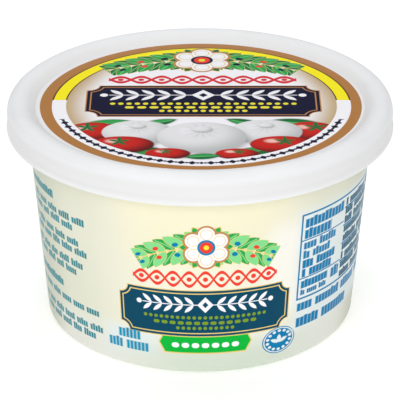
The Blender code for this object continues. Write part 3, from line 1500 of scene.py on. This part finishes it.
@dataclass(frozen=True)
class Lid:
    """The lid: a thin shell with a flat panel, a sloping step, a domed channel and a skirt with a lip.

    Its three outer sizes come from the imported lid, and the others repeat those that it was made from.
    """

    radius: float
    crest: float
    foot: float
    wall: float = 0.8 * MM
    crest_inset: float = 3.7 * MM
    crest_rise: float = 2.75 * MM
    dome_radius: float = 5.5 * MM
    channel_radius: float = 3.4 * MM
    fillet: float = 0.8 * MM
    step_angle: float = math.radians(40)
    lip_radius: float = 1.45 * MM
    lip_wrap: float = math.radians(100)
    waist: float = 0.22 * MM  # how far the skirt draws in over the lip
    waist_drop: float = 1.6  # over 1, the waist is nearer to the lip than to the crest
    flat_rings: tuple[float, ...] = (0.25, 0.5, 0.75, 0.9, 0.99)  # the panel's rings, as shares of its radius
    finish: Plastic = Plastic("lid_satin", 0.42, 0.06, 0.1, 0.02 * MM, 0.15)
    top_chart: DiscChart = DiscChart((0.46, 0.46), 0.455)
    under_chart: DiscChart = DiscChart((0.88, 0.88), 0.115, True)
    cloud_scale: float = 45.0  # of the faint unevenness on top, in clouds for each metre
    cloud_fade: Pair = (0.35, 0.7)
    cloud_share: float = 0.3
    painted_shade_fade: Pair = (1.4 * MM, -1.2 * MM)  # where the skirt's painted shade starts and is whole, over the panel
    painted_lip_light_fade: Pair = (2.8 * MM, 1.0 * MM)  # where the painted light on the lip starts and is whole, over the lid's foot
    # how far the painted light on the lip takes back the skirt's painted shade
    painted_lip_light_share: float = 0.45

    @property
    def panel_height(self) -> float:
        """The height of the flat panel."""
        return self.crest - self.crest_rise

    def step_and_channel(self, depth: float) -> Outline:
        """The panel's fillet and the channel's two arcs.

        Args:
            depth: how far under the lid's outer surface they run.

        Returns:
            The outline, from the panel to the skirt.
        """
        crest_radius = self.radius - self.crest_inset
        rise = self.fillet + self.dome_radius - self.crest_rise
        reach = self.fillet + self.dome_radius
        run = (reach - rise * math.cos(self.step_angle)) / math.sin(self.step_angle)
        fillet_centre = (crest_radius - run, self.panel_height + self.fillet)
        dome_centre = (crest_radius, self.crest - self.dome_radius)
        channel_centre = (crest_radius, self.crest - self.channel_radius)
        fillet = arc(fillet_centre, self.fillet + depth, DOWN, self.step_angle + DOWN, 8)
        dome = arc(dome_centre, self.dome_radius - depth, self.step_angle + UP, UP, 10)
        channel = arc(channel_centre, self.channel_radius - depth, UP, 0.0, 18)
        return fillet + span(fillet[-1], dome[0], 3) + dome + channel[1:]

    def skirt(self, depth: float) -> Outline:
        """The skirt, slightly drawn in over the lip, and the lip's arc.

        Args:
            depth: how far under the lid's outer surface they run.

        Returns:
            The outline, from the channel to the lip's end.
        """
        centre = (self.radius - self.lip_radius, self.foot + self.lip_radius)
        lip = arc(centre, self.lip_radius - depth, 0.0, -self.lip_wrap, 14)
        top = (self.radius - self.crest_inset + self.channel_radius - depth, self.crest - self.channel_radius)
        straight = span(top, lip[0], 12)
        steps = len(straight) + 1
        drawn = []
        for i, (radius, height) in enumerate(straight, start=1):
            hollow = math.sin(math.pi * (i / steps) ** self.waist_drop) ** 2
            drawn.append((radius - self.waist * hollow, height))
        return drawn + lip

    def side(self, depth: float) -> Outline:
        """One side of the shell.

        Args:
            depth: how far under the lid's outer surface it runs.

        Returns:
            The outline, from the axis out to the lip's end.
        """
        level = self.panel_height - depth
        step = self.step_and_channel(depth)
        flat = [(0.0, level)] + [(step[0][0] * share, level) for share in self.flat_rings]
        return flat + step + self.skirt(depth)

    def build(self) -> bpy.types.Object:
        """Makes the lid with its print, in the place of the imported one.

        Returns:
            The lid.
        """
        outer = self.side(0.0)
        inner = [outer[-1]] + self.side(self.wall)[::-1]
        piece = Lathe().turn("lid_shell", [(outer, self.top_chart), (inner, self.under_chart)])
        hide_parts("lid")
        graph = Graph(self.finish.name)
        place = graph.value("ShaderNodeTexCoord", {}, {}, "Object")
        # the bare plastic: painted shade darkens the skirt and painted light pales the lip
        plastic = graph.blend(self._shade_and_cloud_share(graph, place), Ink.LID.colour, Ink.LID_SHADE_AND_CLOUD.colour)
        colour, film = LidPrint(self.panel_height).lay(graph, place, plastic)
        self.finish.dress(piece, graph, place, colour, film)
        return piece

    def _shade_and_cloud_share(self, graph: Graph, place: Value) -> Value:
        """How much of the darker tone the bare plastic has: painted shade, whole on the skirt and less on
        top, lightened on the lip by painted light, with faint clouds anywhere.

        Args:
            graph: the material's graph.
            place: the place on the lid, in metres.

        Returns:
            The share, from 0 to 1.
        """
        cloud = graph.ease(graph.noise(place, self.cloud_scale), *self.cloud_fade)
        # painted shade: the skirt darker than the top
        start, end = self.painted_shade_fade
        side = graph.ease(place.z, self.panel_height + start, self.panel_height + end)
        # painted light: the lip paler than the skirt above it
        start, end = self.painted_lip_light_fade
        lip = graph.ease(place.z, self.foot + start, self.foot + end)
        return graph.maths("MAXIMUM", side - lip * self.painted_lip_light_share, cloud * self.cloud_share)


@dataclass(frozen=True)
class Tub:
    """The tub: a tapered wall under the lid, a rounded heel, a foot ring and a raised base."""

    lid: Lid
    gap: float = 0.3 * MM  # between the lid and the tub
    foot_radius: float = 47.2 * MM  # the wall's straight line, carried down to the floor
    draft: float = math.radians(4.74)
    rim_drop: float = 5.4 * MM
    rim_corner: float = 1.0 * MM
    rim_fillet: float = 0.8 * MM
    heel: float = 3.2 * MM
    ring_inner: float = 40.6 * MM
    recess: float = 1.3 * MM
    recess_slope: float = 1.6 * MM
    step_radius: float = 30.0 * MM  # of the raised base's shallow step
    step_run: float = 0.5 * MM
    step_rise: float = 0.3 * MM
    gate_radius: float = 2.2 * MM
    gate_run: float = 0.2 * MM
    gate_drop: float = 0.35 * MM
    finish: Plastic = Plastic("tub_gloss", 0.34, 0.08, 0.0, 0.02 * MM, 0.08)
    rim_chart: DiscChart = DiscChart((0.07, 0.93), 0.065)
    wall_chart: StripChart = StripChart((0.0, 0.0), (1.0, 0.86))
    base_chart: DiscChart = DiscChart((0.22, 0.93), 0.065, True)
    cloud_scale: float = 30.0  # of the faint unevenness of the plastic, in clouds for each metre
    cloud_fade: Pair = (0.3, 0.7)
    cloud_share: float = 0.15

    def wall_radius(self, height: float) -> float:
        """The radius of the straight wall at a height."""
        return self.foot_radius + height * math.tan(self.draft)

    def rim(self) -> Outline:
        """The tub's top and its rim.

        Returns:
            The outline, from the axis out and down to the wall.
        """
        depth = self.lid.wall + self.gap
        top = self.lid.step_and_channel(depth)
        underside = self.lid.panel_height - self.rim_drop
        corner = (top[-1][0] - self.rim_corner, underside + self.rim_corner)
        height = underside - self.rim_fillet
        hollow = (self.wall_radius(height) + self.rim_fillet / math.cos(self.draft), height)
        edge = arc(corner, self.rim_corner, 0.0, DOWN, 6)
        neck = arc(hollow, self.rim_fillet, UP, math.pi - self.draft, 6)
        return [(0.0, self.lid.panel_height - depth)] + top + edge + neck

    def heel_arc(self) -> Outline:
        """The rounded heel, from the wall down to the foot ring."""
        inset = self.heel * (1 - math.sin(self.draft)) / math.cos(self.draft)
        return arc((self.foot_radius - inset, self.heel), self.heel, -self.draft, DOWN, 16)

    def base(self) -> Outline:
        """The foot ring's inner side, and the raised base with its shallow step and its gate mark.

        Returns:
            The outline, from the foot ring in to the axis.
        """
        level = self.recess + self.step_rise
        ring = [(self.ring_inner, 0.0), (self.ring_inner - self.recess_slope, self.recess)]
        step = [(self.step_radius, self.recess), (self.step_radius - self.step_run, level)]
        gate_level = level - self.gate_drop
        gate = [(self.gate_radius, level), (self.gate_radius - self.gate_run, gate_level), (0.0, gate_level)]
        return ring + step + gate

    def build(self) -> bpy.types.Object:
        """Makes the tub with its print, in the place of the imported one.

        Returns:
            The tub.
        """
        rim, heel = self.rim(), self.heel_arc()
        wall = [rim[-1]] + span(rim[-1], heel[0], 24) + heel
        base = [heel[-1]] + self.base()
        stretches = [(rim, self.rim_chart), (wall, self.wall_chart), (base, self.base_chart)]
        piece = Lathe().turn("tub_shell", stretches)
        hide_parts("tub")
        graph = Graph(self.finish.name)
        place = graph.value("ShaderNodeTexCoord", {}, {}, "Object")
        cloud = graph.ease(graph.noise(place, self.cloud_scale), *self.cloud_fade) * self.cloud_share
        plastic = graph.blend(cloud, Ink.CREAM.colour, Ink.STRAW.colour)
        colour = TubPrint(self.lid.panel_height).lay(graph, place, plastic)
        self.finish.dress(piece, graph, place, colour, 0.0)
        return piece


# ---------------------------------------------------------------- the studio


@dataclass(frozen=True)
class SoftLight:
    """A rectangular soft light that points at the pack."""

    name: str
    bearing: float  # degrees round from the front, more to the right
    height: float  # degrees above level
    distance: float
    size: Pair
    power: float
    mirrored: bool = True  # whether glossy surfaces reflect it

    def hang(self, aim: Vector) -> None:
        """Adds the light.

        Args:
            aim: where it points.
        """
        turn, tilt = math.radians(self.bearing), math.radians(self.height)
        way = Vector((math.sin(turn) * math.cos(tilt), -math.cos(turn) * math.cos(tilt), math.sin(tilt)))
        data = bpy.data.lights.new(self.name, "AREA")
        data.shape = "RECTANGLE"
        data.size, data.size_y = self.size
        data.energy = self.power
        light = bpy.data.objects.new(self.name, data)
        light.visible_camera = False
        light.visible_glossy = self.mirrored
        light.location = aim + way * self.distance
        light.rotation_euler = (-way).to_track_quat("-Z", "Y").to_euler()
        bpy.context.scene.collection.objects.link(light)


@dataclass(frozen=True)
class Studio:
    """A white floor, soft lights and the photograph's camera."""

    aim_height: float = 35.3 * MM
    elevation: float = math.radians(25.29)
    distance: float = 0.8
    focal_pixels: float = 2593.78
    frame_pixels: int = 400
    floor_radius: float = 6.0
    floor_white: float = 0.9
    floor_glow: float = 0.35
    surroundings: float = 0.2  # their strength
    lights: tuple[SoftLight, ...] = (
        SoftLight("front", 0.0, 32.0, 1.6, (1.4, 0.6), 9.1, mirrored=False),
        SoftLight("front_low", 0.0, 6.0, 1.6, (0.7, 0.3), 2.6),
        SoftLight("front_left", -32.0, 20.0, 1.6, (0.8, 0.8), 1.0),
        SoftLight("top", 0.0, 89.0, 1.6, (4.0, 1.6), 18.3),
        SoftLight("back", 180.0, 25.0, 1.8, (2.2, 0.8), 6.0, mirrored=False),
        SoftLight("back_left", -130.0, 45.0, 1.8, (1.2, 0.8), 3.4),
        SoftLight("back_right", 130.0, 45.0, 1.8, (1.2, 0.8), 3.4),
    )

    def build(self) -> None:
        """Makes the floor, the surroundings, the lights and the camera."""
        aim = Vector((0.0, 0.0, self.aim_height))
        self._lay_floor()
        self._light_surroundings()
        for light in self.lights:
            light.hang(aim)
        self._set_camera(aim)
        bpy.context.scene.view_settings.view_transform = "Standard"

    def _lay_floor(self) -> None:
        """Lays the floor, which glows a little so that it stays white."""
        shape = bmesh.new()
        bmesh.ops.create_circle(shape, cap_ends=True, segments=96, radius=self.floor_radius)
        mesh = bpy.data.meshes.new("floor")
        shape.to_mesh(mesh)
        shape.free()
        floor = bpy.data.objects.new("floor", mesh)
        bpy.context.scene.collection.objects.link(floor)
        graph = Graph("studio_white")
        white = (self.floor_white, self.floor_white, self.floor_white, 1.0)
        sockets = {
            "Base Color": white,
            "Roughness": 0.8,
            "Emission Color": white,
            "Emission Strength": self.floor_glow,
        }
        shader = graph.value("ShaderNodeBsdfPrincipled", {}, sockets)
        graph.add("ShaderNodeOutputMaterial", {}, {"Surface": shader})
        mesh.materials.append(graph.material)

    def _light_surroundings(self) -> None:
        """Sets the white surroundings."""
        world = bpy.data.worlds.new("studio_surroundings")
        bpy.context.scene.world = world
        world.use_nodes = True
        background = world.node_tree.nodes["Background"]
        background.inputs["Color"].default_value = (1.0, 1.0, 1.0, 1.0)
        background.inputs["Strength"].default_value = self.surroundings

    def _set_camera(self, aim: Vector) -> None:
        """Sets the camera at the photograph's angle.

        Args:
            aim: where it points.
        """
        data = bpy.data.cameras.new("camera")
        data.lens = self.focal_pixels / self.frame_pixels * data.sensor_width
        camera = bpy.data.objects.new("camera", data)
        away = Vector((0.0, -math.cos(self.elevation), math.sin(self.elevation)))
        camera.location = aim + away * self.distance
        camera.rotation_euler = (-away).to_track_quat("-Z", "Y").to_euler()
        bpy.context.scene.collection.objects.link(camera)
        bpy.context.scene.camera = camera


def main() -> None:
    """Builds the studio, the lid and the tub."""
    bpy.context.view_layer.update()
    Studio().build()
    low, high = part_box("lid")
    lid = Lid(radius=high.x, crest=high.z, foot=low.z)
    for piece in (lid.build(), Tub(lid).build()):
        LOG.info("%s: %d faces", piece.name, len(piece.data.polygons))


if __name__ == "__main__":
    logging.basicConfig(level=logging.INFO)
    main()
